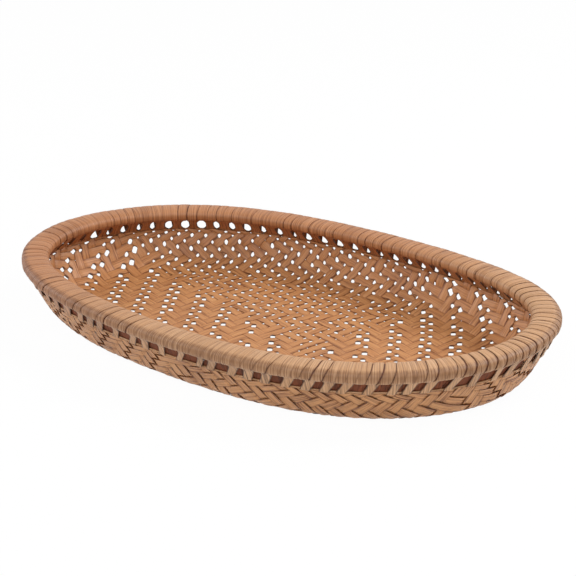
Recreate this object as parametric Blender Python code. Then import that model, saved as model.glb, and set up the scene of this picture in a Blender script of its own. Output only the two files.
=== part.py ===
"""Oval bamboo tray: a twill mat of flat splits bound to a lashed rim.

Metres, +X along the tray, +Z up, origin on the floor it stands on, under the middle of the tray.
"""

import math

import bpy
import numpy as np

MM = 0.001

# Outside of the tray
TRAY_LENGTH = 472 * MM
TRAY_WIDTH = 290 * MM
TRAY_HEIGHT = 51.2 * MM
END_LIFT = 3.5 * MM
OVAL_EXPONENT_SHARE = 2.1
END_SWELL_SHARE = 0.017
OVAL_WAVE_SHARES = {2: (0.0029, -0.0013), 4: (-0.0029, 0.0069)}

# Rim bundle with its lashing
RIM_WIDTH = 24.5 * MM
RIM_HEIGHT = 11.8 * MM
HOOP_THICKNESS = 4 * MM
HOOP_ROUNDING = 3.4 * MM
HOOP_JOINT_GAP = 0.6 * MM
SEAT_GAP = 0.3 * MM
OUTER_HOOP_JOINT_TURN = 10
INNER_HOOP_JOINT_TURN = 40
UPPER_FILLER_JOINT_TURN = 60
LOWER_FILLER_JOINT_TURN = 80

# Lashing strip
LASHING_THICKNESS = 0.6 * MM
LASHING_TURN_GAP = 0.9 * MM
LASHING_LENGTHS = 4
TURNS_PER_LENGTH = 22
TURNS_PER_LEG = 2
LEG_TURN = 1
NEAR_RINGS = 4

# Border strand under the rim
STRAND_WIDTH = 2 * MM
STRAND_DROP = 8.2 * MM
STRAND_JOINT_TURN = 30

# Woven mat
SPLIT_THICKNESS = 0.6 * MM
SPLIT_SPACING = 2 * MM
CROSSING_GAP = 0.4 * MM
FLOOR_BEND = 16 * MM
WALL_ANGLE = math.radians(63)
WALL_OUTSET = 7.1 * MM
WEAVE_TURN = math.radians(25)
WEAVE_AHEAD_SHARE = 0.074
WEAVE_ASIDE_SHARE = -0.034
CROSSWISE_PITCH_SHARE = 0.0386
LENGTHWISE_PITCH_SHARE = 0.0556
CROSSWISE_NUMBERS = range(-14, 11)
LENGTHWISE_NUMBERS = range(-9, 9)
FLOAT_CROSSINGS = 2
SPLICED_NUMBERS = range(-5, 3)
SPLICE_GAP = 1 * MM
EDGE_SNAP = 0.8 * MM
EDGE_SEARCH_STEPS = 40

# Colours, as linear RGB
MAT_COLOUR = (0.50, 0.27, 0.13, 1.0)
MAT_DARK_COLOUR = (0.42, 0.22, 0.11, 1.0)
LASHING_COLOUR = (0.56, 0.32, 0.17, 1.0)
HOOP_COLOUR = (0.33, 0.17, 0.08, 1.0)
STRAND_COLOUR = (0.62, 0.40, 0.22, 1.0)
BAMBOO_ROUGHNESS = 0.55
OVAL_SAMPLES = 2880
SHARP_ANGLE = math.radians(35)

# Sizes that follow
TURNS = LASHING_LENGTHS * TURNS_PER_LENGTH
RIM_CENTRE_Z = TRAY_HEIGHT - RIM_HEIGHT / 2
BUNDLE_HALF_WIDTH = RIM_WIDTH / 2 - LASHING_THICKNESS - SEAT_GAP
BUNDLE_HALF_HEIGHT = RIM_HEIGHT / 2 - LASHING_THICKNESS - SEAT_GAP
FLOAT_LEVEL = (SPLIT_THICKNESS + CROSSING_GAP) / 2
MAT_HALF = FLOAT_LEVEL + SPLIT_THICKNESS / 2
STRAND_Z = -RIM_HEIGHT / 2 - STRAND_DROP
LEG_REACH = STRAND_WIDTH / 2 + (SEAT_GAP + LASHING_THICKNESS / 2) * math.sqrt(2)
LEG_BOTTOM_Z = STRAND_Z - LEG_REACH - LASHING_THICKNESS / 2 * math.sqrt(2)


def outward_normals(points):
    """Unit normals of a closed counterclockwise line."""
    along = np.roll(points, -1, axis=0) - np.roll(points, 1, axis=0)
    along /= np.linalg.norm(along, axis=1)[:, None]
    return np.column_stack([along[:, 1], -along[:, 0]])


def rim_line(samples):
    """Middle line of the rim, evenly spaced, counterclockwise from +X."""
    turn = np.linspace(0, 2 * math.pi, OVAL_SAMPLES, endpoint=False)
    power = 2 / OVAL_EXPONENT_SHARE
    x = TRAY_LENGTH / 2 * np.sign(np.cos(turn)) * np.abs(np.cos(turn)) ** power
    y = TRAY_WIDTH / 2 * np.sign(np.sin(turn)) * np.abs(np.sin(turn)) ** power
    line = np.column_stack([x, y])
    wave = np.zeros(OVAL_SAMPLES)
    for count, (even_share, odd_share) in OVAL_WAVE_SHARES.items():
        wave += even_share * np.cos(count * turn) + odd_share * np.sin(count * turn)
    line += outward_normals(line) * (TRAY_LENGTH * wave)[:, None]
    line -= outward_normals(line) * RIM_WIDTH / 2
    line = np.vstack([line, line[:1]])
    steps = np.linalg.norm(np.diff(line, axis=0), axis=1)
    run = np.concatenate([[0], np.cumsum(steps)])
    even = np.linspace(0, run[-1], samples, endpoint=False)
    return np.column_stack([np.interp(even, run, line[:, 0]), np.interp(even, run, line[:, 1])])


def outward_mitres(points):
    """Vectors that offset a closed polygon's corners so that its sides move by one unit."""
    side = np.roll(points, -1, axis=0) - points
    side /= np.linalg.norm(side, axis=1)[:, None]
    normal = np.column_stack([side[:, 1], -side[:, 0]])
    before = np.roll(normal, 1, axis=0)
    return (normal + before) / (1 + (normal * before).sum(axis=1))[:, None]


STATIONS = rim_line(TURNS)
STATION_MITRES = outward_mitres(STATIONS)
FINE_OVAL = rim_line(OVAL_SAMPLES)
FINE_MITRES = outward_mitres(FINE_OVAL)


def settle(x, y, z):
    """The slight swell of one end and the lift of both, which every piece follows."""
    along = x / (TRAY_LENGTH / 2)
    lift = END_LIFT * along ** 2 * z / TRAY_HEIGHT
    return (x, y * (1 + END_SWELL_SHARE * along), z + lift)


def rim_point(station, outward, height):
    """World point by station along the rim, offset outward and height over the bundle's centre."""
    base = math.floor(station)
    share = station - base
    ends = []
    for index in (base % TURNS, (base + 1) % TURNS):
        ends.append(STATIONS[index] + outward * STATION_MITRES[index])
    x, y = ends[0] * (1 - share) + ends[1] * share
    return settle(x, y, RIM_CENTRE_Z + height)


def material(name, colour):
    """A matte bamboo material."""
    result = bpy.data.materials.new(name)
    result.use_nodes = True
    shader = result.node_tree.nodes["Principled BSDF"]
    shader.inputs["Base Color"].default_value = colour
    shader.inputs["Roughness"].default_value = BAMBOO_ROUGHNESS
    shader.inputs["Metallic"].default_value = 0
    return result


def add_solid(name, points, faces, surface):
    """One named object from points and faces, smooth but for its sharp edges."""
    mesh = bpy.data.meshes.new(name)
    mesh.from_pydata([tuple(point) for point in points], [], faces)
    mesh.materials.append(surface)
    mesh.polygons.foreach_set("use_smooth", [True] * len(mesh.polygons))
    mesh.set_sharp_from_angle(angle=SHARP_ANGLE)
    result = bpy.data.objects.new(name, mesh)
    bpy.context.scene.collection.objects.link(result)
    return result


def loft(rings):
    """Points and outward faces of a capped body through rings of equal count."""
    count = len(rings[0])
    points = [point for ring in rings for point in ring]
    faces = []
    for step in range(len(rings) - 1):
        low = step * count
        for corner in range(count):
            following = (corner + 1) % count
            faces.append((low + corner, low + count + corner, low + count + following, low + following))
    last = (len(rings) - 1) * count
    faces.append(tuple(range(count)))
    faces.append(tuple(last + corner for corner in reversed(range(count))))
    return points, faces


def add_rim_member(name, section, joint_station, surface):
    """A hoop or filler round the rim, open by a small gap at its joint."""
    step = np.linalg.norm(STATIONS[1] - STATIONS[0])
    slack = HOOP_JOINT_GAP / step / 2
    places = [joint_station + slack]
    places += [joint_station + index for index in range(1, TURNS)]
    places.append(joint_station + TURNS - slack)
    rings = [[rim_point(place, *corner) for corner in section] for place in places]
    points, faces = loft(rings)
    return add_solid(name, points, faces, surface)


def hoop_section(side):
    """Section of a hoop: flat towards the fillers, rounded corners on its outside."""
    inner = side * (BUNDLE_HALF_WIDTH - HOOP_THICKNESS)
    outer = side * BUNDLE_HALF_WIDTH
    shoulder = side * (BUNDLE_HALF_WIDTH - HOOP_ROUNDING)
    low_shoulder = BUNDLE_HALF_HEIGHT - HOOP_ROUNDING
    corners = [
        (inner, -BUNDLE_HALF_HEIGHT),
        (shoulder, -BUNDLE_HALF_HEIGHT),
        (outer, -low_shoulder),
        (outer, low_shoulder),
        (shoulder, BUNDLE_HALF_HEIGHT),
        (inner, BUNDLE_HALF_HEIGHT),
    ]
    return corners if side > 0 else corners[::-1]


def filler_section(level):
    """Section of one of the two fillers stacked between the hoops."""
    reach = BUNDLE_HALF_WIDTH - HOOP_THICKNESS - SEAT_GAP
    near = level * SEAT_GAP / 2
    far = level * BUNDLE_HALF_HEIGHT
    low, high = min(near, far), max(near, far)
    return [(-reach, low), (reach, low), (reach, high), (-reach, high)]


def strand_section():
    """Section of the border strand, in line with the wall of the mat."""
    half = STRAND_WIDTH / 2
    centre = -wall_inset(STRAND_Z)
    return [
        (centre, STRAND_Z - half),
        (centre + half, STRAND_Z),
        (centre, STRAND_Z + half),
        (centre - half, STRAND_Z),
    ]


def wall_inset(height):
    """How far inside the rim's centre line the wall lies, at a height over the bundle's centre."""
    return (-RIM_HEIGHT / 2 - height) / math.tan(WALL_ANGLE) - WALL_OUTSET


def lashing_corners():
    """Middle line of a turn round the bundle, from low outside over the top to low outside."""
    half_width = BUNDLE_HALF_WIDTH + SEAT_GAP + LASHING_THICKNESS / 2
    half_height = BUNDLE_HALF_HEIGHT + SEAT_GAP + LASHING_THICKNESS / 2
    cut = HOOP_ROUNDING + (SEAT_GAP + LASHING_THICKNESS / 2) * (2 - math.sqrt(2))
    return [
        (half_width, -half_height + cut),
        (half_width, half_height - cut),
        (half_width - cut, half_height),
        (-half_width + cut, half_height),
        (-half_width, half_height - cut),
        (-half_width, -half_height + cut),
        (-half_width + cut, -half_height),
        (half_width - cut, -half_height),
    ]


def lashing_path(first_turn):
    """Stations and section points of one strip: short turns, and legs down to the strand."""
    *turn_corners, low_inside, low_outside = lashing_corners()
    centre = -wall_inset(STRAND_Z)
    path = []
    for turn in range(first_turn, first_turn + TURNS_PER_LENGTH):
        start = turn + 0.5
        path += [(start, corner) for corner in turn_corners]
        if turn % TURNS_PER_LEG == LEG_TURN:
            path.append((start, (centre - LEG_REACH, STRAND_Z)))
            path.append((start, (centre, STRAND_Z - LEG_REACH)))
            path.append((start, (centre + LEG_REACH, STRAND_Z)))
        else:
            path.append((start, low_inside))
        path.append((start + 1, low_outside))
    return path


def path_normals(section_points):
    """Mitred normals of an open line in the section plane, to the left of its run."""
    points = np.array(section_points)
    side = np.diff(points, axis=0)
    side /= np.linalg.norm(side, axis=1)[:, None]
    normal = np.column_stack([-side[:, 1], side[:, 0]])
    before = np.vstack([normal[:1], normal])
    after = np.vstack([normal, normal[-1:]])
    return (before + after) / (1 + (before * after).sum(axis=1))[:, None]


def least_gap(rings, path):
    """Least distance between the edges of neighbouring turns, on points along them."""
    shares = np.linspace(0, 1, 9)
    leading, trailing, places = [], [], []
    for index in range(len(rings) - 1):
        first, second = np.array(rings[index]), np.array(rings[index + 1])
        for share in shares:
            ring = first * (1 - share) + second * share
            trailing += [ring[0], ring[3]]
            leading += [ring[1], ring[2]]
            places += [index + share] * 2
    leading, trailing, places = np.array(leading), np.array(trailing), np.array(places)
    least = math.inf
    for place, point in zip(places, leading):
        far = places > place + NEAR_RINGS
        if far.any():
            least = min(least, np.linalg.norm(trailing[far] - point, axis=1).min())
    return least


def add_lashing(number, surface):
    """One strip of lashing, a flat ribbon wound round the rim."""
    path = lashing_path(number * TURNS_PER_LENGTH)
    normals = path_normals([corner for _, corner in path])
    step = np.linalg.norm(STATIONS[1] - STATIONS[0])
    half = (1 - LASHING_TURN_GAP / step) / 2
    rings = []
    for (station, corner), normal in zip(path, normals):
        inner = np.array(corner) + normal * LASHING_THICKNESS / 2
        outer = np.array(corner) - normal * LASHING_THICKNESS / 2
        rings.append([
            rim_point(station - half, *inner),
            rim_point(station + half, *inner),
            rim_point(station + half, *outer),
            rim_point(station - half, *outer),
        ])
    name = f"lashing_strip_{number + 1}"
    print(name, "least gap to itself", round(least_gap(rings, path) / MM, 2), "mm")
    points, faces = loft(rings)
    return add_solid(name, points, faces, surface)


BEND_RUN = FLOOR_BEND * WALL_ANGLE
BEND_OUT = FLOOR_BEND * math.sin(WALL_ANGLE)
BEND_RISE = FLOOR_BEND * (1 - math.cos(WALL_ANGLE))
RIM_BOTTOM_Z = RIM_CENTRE_Z - RIM_HEIGHT / 2
WALL_REACH = (RIM_BOTTOM_Z - MAT_HALF - BEND_RISE) / math.tan(WALL_ANGLE)
FLOOR_INSET = BEND_OUT + WALL_REACH - WALL_OUTSET
FLOOR_OVAL = FINE_OVAL - FLOOR_INSET * FINE_MITRES
EDGE_Z = RIM_CENTRE_Z + LEG_BOTTOM_Z - SEAT_GAP - MAT_HALF * math.cos(WALL_ANGLE)
EDGE_RUN = BEND_RUN + (EDGE_Z - MAT_HALF - BEND_RISE) / math.sin(WALL_ANGLE)


def floor_foot(x, y):
    """Nearest point and outward normal of the floor's outline, and the distance out from it."""
    offset = np.array([x, y]) - FLOOR_OVAL
    nearest = int(np.argmin((offset ** 2).sum(axis=1)))
    normal = FINE_MITRES[nearest] / np.linalg.norm(FINE_MITRES[nearest])
    sideways = np.array([-normal[1], normal[0]])
    drift = offset[nearest] @ sideways
    following = (nearest + (1 if drift > 0 else -1)) % OVAL_SAMPLES
    spacing = np.linalg.norm(FLOOR_OVAL[following] - FLOOR_OVAL[nearest])
    share = min(abs(drift) / spacing, 1)
    foot = FLOOR_OVAL[nearest] * (1 - share) + FLOOR_OVAL[following] * share
    normal = FINE_MITRES[nearest] * (1 - share) + FINE_MITRES[following] * share
    normal = normal / np.linalg.norm(normal)
    return foot, normal, (np.array([x, y]) - foot) @ normal


def direction(angle):
    """Unit vector on the flat mat."""
    return np.array([math.cos(angle), math.sin(angle)])


CROSSWISE_RUN = direction(WEAVE_TURN + math.pi / 4)
LENGTHWISE_RUN = direction(WEAVE_TURN - math.pi / 4)
WEAVE_CENTRE = np.array([WEAVE_AHEAD_SHARE * TRAY_LENGTH, WEAVE_ASIDE_SHARE * TRAY_WIDTH])
MAT_OUTLINE = FLOOR_OVAL + EDGE_RUN * outward_normals(FINE_OVAL)
CROSSWISE_PITCH = CROSSWISE_PITCH_SHARE * np.ptp(MAT_OUTLINE @ LENGTHWISE_RUN)
LENGTHWISE_PITCH = LENGTHWISE_PITCH_SHARE * np.ptp(MAT_OUTLINE @ CROSSWISE_RUN)


def pitch_and_numbers(crosswise):
    """Pitch and numbers of the splits of one direction, counted from the weave's centre."""
    if crosswise:
        return CROSSWISE_PITCH, CROSSWISE_NUMBERS
    return LENGTHWISE_PITCH, LENGTHWISE_NUMBERS


def mat_place(along, across):
    """Flat place of a point by its distances along the two directions of the splits."""
    return WEAVE_CENTRE + along * CROSSWISE_RUN + across * LENGTHWISE_RUN


def mat_point(along, across, level):
    """World point on the mat, a level above or below its middle surface."""
    x, y = mat_place(along, across)
    foot, normal, out = floor_foot(x, y)
    if out <= 0:
        return settle(x, y, MAT_HALF + level)
    angle = min(out / FLOOR_BEND, WALL_ANGLE)
    straight = max(out - BEND_RUN, 0)
    reach = FLOOR_BEND * math.sin(angle) + straight * math.cos(angle)
    rise = FLOOR_BEND * (1 - math.cos(angle)) + straight * math.sin(angle)
    x, y = foot + normal * (reach - level * math.sin(angle))
    return settle(x, y, MAT_HALF + rise + level * math.cos(angle))


def edge_distance(along, across):
    """Distance beyond the mat's top edge, nil within a small snap of it."""
    distance = floor_foot(*mat_place(along, across))[2] - EDGE_RUN
    return 0.0 if abs(distance) < EDGE_SNAP else distance


def edge_crossing(inside, outside):
    """Where the line between two flat places meets the mat's top edge."""
    low, high = np.array(inside), np.array(outside)
    for _ in range(EDGE_SEARCH_STEPS):
        middle = (low + high) / 2
        if floor_foot(*mat_place(*middle))[2] < EDGE_RUN:
            low = middle
        else:
            high = middle
    return tuple(low)


def clip_to_edge(corners):
    """The share of a flat patch that lies inside the mat's top edge."""
    distances = [edge_distance(*corner) for corner in corners]
    result = []
    for index, corner in enumerate(corners):
        following = (index + 1) % len(corners)
        if distances[index] <= 0:
            result.append(corner)
        if distances[index] < 0 < distances[following]:
            result.append(edge_crossing(corner, corners[following]))
        if distances[following] < 0 < distances[index]:
            result.append(edge_crossing(corners[following], corner))
    return result if len(result) > 2 else []


def is_over(first, second):
    """Whether the crosswise split passes over, in a twill of nested squares."""
    return (abs(first) + abs(second)) % (2 * FLOAT_CROSSINGS) < FLOAT_CROSSINGS


def is_flat(corners):
    """Whether a patch lies wholly on the flat floor."""
    return all(floor_foot(*mat_place(*corner))[2] < 0 for corner in corners)


def patch(low, high, number, crosswise):
    """Corners of a patch of a split, in one order whichever way the split runs."""
    pitch, _ = pitch_and_numbers(crosswise)
    half = (pitch - SPLIT_SPACING) / 2
    sides = (number * pitch - half, number * pitch + half)
    ends = (low, high, *sides) if crosswise else (*sides, low, high)
    return [(ends[0], ends[2]), (ends[1], ends[2]), (ends[1], ends[3]), (ends[0], ends[3])]


def crossing_numbers(crosswise):
    """Numbers of the splits that one of this direction crosses, past the mat's edge both ways."""
    _, numbers = pitch_and_numbers(not crosswise)
    return range(numbers[0] - 2, numbers[-1] + 3)


def splice_place(number):
    """Where a spliced split's two halves meet, under a crosswise split near the tray's middle."""
    middle = -WEAVE_CENTRE @ LENGTHWISE_RUN
    places = [other * CROSSWISE_PITCH for other in CROSSWISE_NUMBERS if is_over(number, other)]
    return min(places, key=lambda place: abs(place - middle))


def split_patches(number, crosswise, span):
    """Patches of one split within a span: its crossings and the short steps between them."""
    pitch, _ = pitch_and_numbers(not crosswise)
    half = (pitch - SPLIT_SPACING) / 2
    pieces = []
    for other in crossing_numbers(crosswise):
        place = other * pitch
        pieces.append((place - half, place + half, is_over(number, other)))
        pieces.append((place + half, place + pitch - half, None))
    pieces = [(max(low, span[0]), min(high, span[1]), over) for low, high, over in pieces]
    pieces = [piece for piece in pieces if piece[0] < piece[1]]
    merged = []
    for index, (low, high, over) in enumerate(pieces):
        corners = patch(low, high, number, crosswise)
        if merged and is_flat(corners) and is_flat(patch(merged[-1][0], low, number, crosswise)):
            following = pieces[min(index + 1, len(pieces) - 1)][2]
            same_float = over == merged[-1][2] or (over is None and following == merged[-1][2])
            if same_float:
                merged[-1] = (merged[-1][0], high, merged[-1][2])
                continue
        merged.append((low, high, over))
    patches = []
    for low, high, over in merged:
        corners = clip_to_edge(patch(low, high, number, crosswise))
        if corners:
            patches.append(corners)
    return patches


def split_levels(number, crosswise):
    """Places along a split and its level there, for interpolation."""
    pitch, _ = pitch_and_numbers(not crosswise)
    half = (pitch - SPLIT_SPACING) / 2
    places, levels = [], []
    for other in crossing_numbers(crosswise):
        over = is_over(number, other) == crosswise
        for side in (-half, half):
            places.append(other * pitch + side)
            levels.append(FLOAT_LEVEL if over else -FLOAT_LEVEL)
    return places, levels


def add_split(number, crosswise, name, surface, span=(-math.inf, math.inf)):
    """One split of the mat: patches thickened by the split's thickness, with closed sides."""
    patches = split_patches(number, crosswise, span)
    places, levels = split_levels(number, crosswise)
    keys = {}
    flat = []
    faces = []
    for corners in patches:
        ring = []
        for corner in corners:
            key = (round(corner[0] / MM, 4), round(corner[1] / MM, 4))
            if key not in keys:
                keys[key] = len(flat)
                flat.append(corner)
            if keys[key] not in ring:
                ring.append(keys[key])
        faces += [(ring[0], ring[index], ring[index + 1]) for index in range(1, len(ring) - 1)]
    points = []
    for side in (SPLIT_THICKNESS / 2, -SPLIT_THICKNESS / 2):
        for corner in flat:
            level = np.interp(corner[0 if crosswise else 1], places, levels)
            points.append(mat_point(*corner, level + side))
    count = len(flat)
    edges = {}
    for face in faces:
        for index in range(3):
            edge = (face[index], face[(index + 1) % 3])
            edges[edge] = edges.get(edge, 0) + 1
    sides = [(b, a, a + count, b + count) for a, b in edges if (b, a) not in edges]
    under = [tuple(corner + count for corner in reversed(face)) for face in faces]
    solid_faces = [face[::-1] for face in faces + sides + under]
    return add_solid(name, points, solid_faces, surface)


def main():
    for item in list(bpy.data.objects):
        bpy.data.objects.remove(item, do_unlink=True)
    hoop = material("rim_bamboo", HOOP_COLOUR)
    strip = material("lashing_bamboo", LASHING_COLOUR)
    strand = material("strand_bamboo", STRAND_COLOUR)
    light = material("split_bamboo", MAT_COLOUR)
    dark = material("cross_split_bamboo", MAT_DARK_COLOUR)
    add_rim_member("outer_hoop", hoop_section(1), OUTER_HOOP_JOINT_TURN, hoop)
    add_rim_member("inner_hoop", hoop_section(-1), INNER_HOOP_JOINT_TURN, hoop)
    add_rim_member("upper_filler", filler_section(1), UPPER_FILLER_JOINT_TURN, hoop)
    add_rim_member("lower_filler", filler_section(-1), LOWER_FILLER_JOINT_TURN, hoop)
    add_rim_member("border_strand", strand_section(), STRAND_JOINT_TURN, strand)
    for number in range(LASHING_LENGTHS):
        add_lashing(number, strip)
    for crosswise, word, surface in ((True, "crosswise", dark), (False, "lengthwise", light)):
        _, numbers = pitch_and_numbers(crosswise)
        for count, number in enumerate(numbers, start=1):
            name = f"{word}_split_{count:02d}"
            if crosswise or number not in SPLICED_NUMBERS:
                add_split(number, crosswise, name, surface)
                continue
            place = splice_place(number)
            add_split(number, crosswise, f"{name}_left", surface, (-math.inf, place - SPLICE_GAP / 2))
            add_split(number, crosswise, f"{name}_right", surface, (place + SPLICE_GAP / 2, math.inf))


main()
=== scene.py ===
"""Dresses the oval bamboo tray: twilled splits, wound rim lashing, legs, border strand, studio.

Metres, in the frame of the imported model: +X along the tray, +Z up, origin on the floor.
"""

import math

import bmesh
import bpy
import numpy as np
from mathutils import Matrix, Vector


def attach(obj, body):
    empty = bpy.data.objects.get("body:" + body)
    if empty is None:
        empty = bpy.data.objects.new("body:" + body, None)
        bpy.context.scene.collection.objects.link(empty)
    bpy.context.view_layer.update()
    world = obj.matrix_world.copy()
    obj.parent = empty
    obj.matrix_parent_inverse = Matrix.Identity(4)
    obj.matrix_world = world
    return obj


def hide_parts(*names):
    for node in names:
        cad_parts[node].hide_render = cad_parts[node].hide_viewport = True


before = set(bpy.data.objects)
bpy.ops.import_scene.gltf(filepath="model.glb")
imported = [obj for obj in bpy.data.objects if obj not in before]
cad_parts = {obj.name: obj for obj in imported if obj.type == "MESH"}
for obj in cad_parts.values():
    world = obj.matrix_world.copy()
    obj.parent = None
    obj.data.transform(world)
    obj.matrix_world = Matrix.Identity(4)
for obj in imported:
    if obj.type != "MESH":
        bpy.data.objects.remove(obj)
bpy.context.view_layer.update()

bl_info = {
    "name": "Oval Bamboo Tray",
    "version": (1, 0, 0),
    "blender": (4, 5, 0),
    "location": "View3D > Sidebar > Bamboo Tray",
    "description": "Builds the woven mat, lashed rim and studio of an oval bamboo tray",
    "category": "Object",
}

BODY = "root"
MM = 0.001
IMAGE_SIZE = 576
SENSOR_WIDTH_MM = 36
FLOOR_REACH = 6

# How finely lines are drawn
OVAL_SAMPLES = 1440
STRAND_SAMPLES = 720
STRAND_SIDES = 8
CORE_STRIDE = 4
CORE_SIDES = 24
STEPS_PER_TURN = 30
FLOOR_LINE_ROUNDS = 8
SHARP_ANGLE = math.radians(50)

# Stretches in which the tray changes: by y towards the back and for the dip, by -x towards
# the left, by x towards the right, by y - x for the painted shade towards the back and left,
# and by the distance from the middle towards the viewer
BACK_FROM_TO = (-0.03, 0.07)
DIP_FROM_TO = (-0.04, 0.04)
LEFT_FROM_TO = (0.1, 0.22)
RIGHT_FROM_TO = (0.13, 0.2)
BACK_LEFT_SHADE_FROM_TO = (-0.16, 0.14)
VIEWER_FROM_TO = (-0.01, 0.07)
TOWARDS_VIEWER = (0.53, -0.85)

# How far a hole opens, by how its two places in the weave stand to each other
ALIGNED_PRODUCT = 0.25
OPPOSED_OPENNESS = 0.62
OTHER_OPENNESS = 0.45
OPENNESS_FROM_TO = (0.5, 1.15)
SHUT_CHANCE = 0.07
LENGTHWISE_WALL_GAP = -0.1 * MM

# The twill goes over two and under two
TWILL_PERIOD = 4
TWILL_MIDDLE = 1.5

# Along a split, in shares of the pitch: 0 is halfway between two crossings, where the holes
# are, and 0.5 is a crossing. A hole is slanted, so it closes sooner on one side.
RISE_FROM_TO = (0, 0.3)
SHORT_SIDE_FROM_TO = (0, 0.34)
LONG_SIDE_FROM_TO = (0.22, 0.5)

# How dark the painted shade at the edges of a hole is, on the floor and on the wall towards the
# viewer
SLIT_SHADE_FROM_TO = (0.7, 0.8)

# Noise that makes the weave stray, per metre, and its reach in drifts
SWAY_SCALE = 14
SWAY_REACH = 4

# Painted shade on the lashing's outer side, darker and with stronger fibres, in halves of the
# rim's width and height
OUTER_SHADE_OUTWARD_FROM_TO = (0.5, 0.8)
OUTER_SHADE_HEIGHT_FROM_TO = (-1.2, 0.5)

# Unevenness of the lashing's turns: the share that part, how wide they part, and how far one
# swells or tilts. Calm is the quiet stretch of the front, and right is the right end.
PARTED_SHARE = 0.48
CALM_PARTED_LESS = 0.34
RIGHT_PARTED_MORE = 0.45
SEAM_FROM_TO = (0.5, 1.3)
CALM_SEAM_MORE = 0.9
RIGHT_SEAM_MORE = 0.35
CALM_STEADINESS = 0.9
SWELL_FROM_TO = (-0.45, 0.1)
TILT_FROM_TO = (-0.6, 0.6)
CALM_START_BLEND = 40 * MM
CALM_END_BLEND = 20 * MM
FRONT_GAP_MORE = 0.12
RIGHT_GAP_LESS = 0.22

# Clearance of the rim's core and lashing from the next layer out
CORE_CLEARANCE = 0.4 * MM
LASHING_CLEARANCE = 0.2 * MM

# Strips of the legs and of the split ends have numbers of their own, for their tone
FIRST_LEG_STRIP = 1000
FIRST_END_STRIP = 3000
STRAND_STRIP = 7
END_SPACING = 6 * MM
END_THICKNESS = 0.5 * MM

# Fibres of each sort of strip. Fine ones and threads are counted per metre, across and along.
# Quiet is how much of them shows outside the painted shade of the lashing's outer side, and edges
# how dark the painted shade at a strip's edges is.
SPLIT_FIBRES = {
    "fine": (1500, 50), "thread": (420, 18), "contrast": 0.62, "quiet": 1.0, "edges": 0.6,
    "roughness": 0.5, "relief": 0.12 * MM,
}
LASHING_FIBRES = {
    "fine": (2300, 26), "thread": (1300, 10), "contrast": 1.0, "quiet": 0.75, "edges": 0.3,
    "roughness": 0.5, "relief": 0.3 * MM,
}
# Painted shade: the legs' edges are fully dark, for the shade round the holes under the rim
LEG_FIBRES = {
    "fine": (1500, 40), "thread": (760, 16), "contrast": 0.7, "quiet": 1.0, "edges": 1.0,
    "roughness": 0.5, "relief": 0.3 * MM,
}
END_FIBRES = {
    "fine": (1500, 60), "thread": (500, 30), "contrast": 1.0, "quiet": 1.0, "edges": 0.5,
    "roughness": 0.8, "relief": 0.2 * MM,
}
STRAND_FIBRES = {
    "fine": (900, 300), "thread": (300, 90), "contrast": 0.3, "quiet": 1.0, "edges": 0.1,
    "roughness": 0.5, "relief": 0.1 * MM,
}

# Each lamp's place, its size and the setting that holds its power
LAMPS = {
    "back_lamp": ((0.9, 0.9, 1.2), 1.0, "back_power"),
    "left_lamp": ((-1.8, -0.35, 0.8), 1.0, "left_power"),
    "front_lamp": ((0.3, -1.3, 1.5), 1.2, "front_power"),
}

RIM_NODES = ("inner_hoop", "outer_hoop", "upper_filler", "lower_filler")
LASHING_NODES = tuple(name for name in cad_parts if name.startswith("lashing_strip"))
CROSSWISE_NODES = tuple(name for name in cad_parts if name.startswith("crosswise_split"))
LENGTHWISE_NODES = tuple(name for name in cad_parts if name.startswith("lengthwise_split"))


def number_property(name, description, default, **more):
    """A plain number, or with a unit."""
    return bpy.props.FloatProperty(name=name, description=description, default=default, **more)


def length_property(name, description, default_mm):
    """A size in metres, given in millimetres."""
    return number_property(name, description, default_mm * MM, unit="LENGTH", precision=4)


def angle_property(name, description, default_degrees):
    """An angle, given in degrees."""
    return number_property(name, description, math.radians(default_degrees), unit="ROTATION")


def colour_property(name, description, default):
    """A linear colour."""
    return bpy.props.FloatVectorProperty(
        name=name, description=description, default=default, size=3, subtype="COLOR",
        min=0, max=1,
    )


def seed_property(default):
    """The seed of what is uneven by chance."""
    return bpy.props.IntProperty(
        name="Seed", description="Seed of the chance unevenness", default=default
    )


class TrayShapeSettings(bpy.types.PropertyGroup):
    """The outline that every piece follows."""

    length: length_property("Length", "Length over the rim", 472)
    width: length_property("Width", "Width over the rim, before its waves and swell", 290)
    height: length_property("Height", "Height of the rim's top at the middle", 51.2)
    oval_exponent: number_property("Oval Exponent", "2 is an ellipse, more is squarer", 2.1)
    waist: number_property("Waist", "How far the long sides draw in, as a share", 0.0029)
    slew: number_property("Slew", "Lean of the oval, as a share", -0.0013)
    twist: number_property("Twist", "Uneven fullness of its quarters, as a share", 0.0069)
    end_lift: length_property("End Lift", "How much higher both ends stand", 3.5)
    end_swell: number_property("End Swell", "How much wider the right end is, as a share", 0.017)
    rim_width: length_property("Rim Width", "Width of the lashed rim", 24.5)
    rim_height: length_property("Rim Height", "Height of the lashed rim", 11.8)
    floor_bend: length_property("Floor Bend", "Radius between the floor and the wall", 16)
    back_bend: length_property("Back Bend", "How much larger it is at the back", 22)
    wall_angle: angle_property("Wall Angle", "Slope of the wall from the floor", 63)
    wall_outset: length_property(
        "Wall Outset", "Where the wall meets the rim, past its middle", 7.1
    )
    mat_half: length_property("Mat Half", "Half of the mat's thickness", 0.8)
    strand_drop: length_property("Strand Drop", "Border strand's centre below the rim", 8.2)
    back_dip: length_property("Back Dip", "How much lower the strand runs at the back", 1.8)


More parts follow.
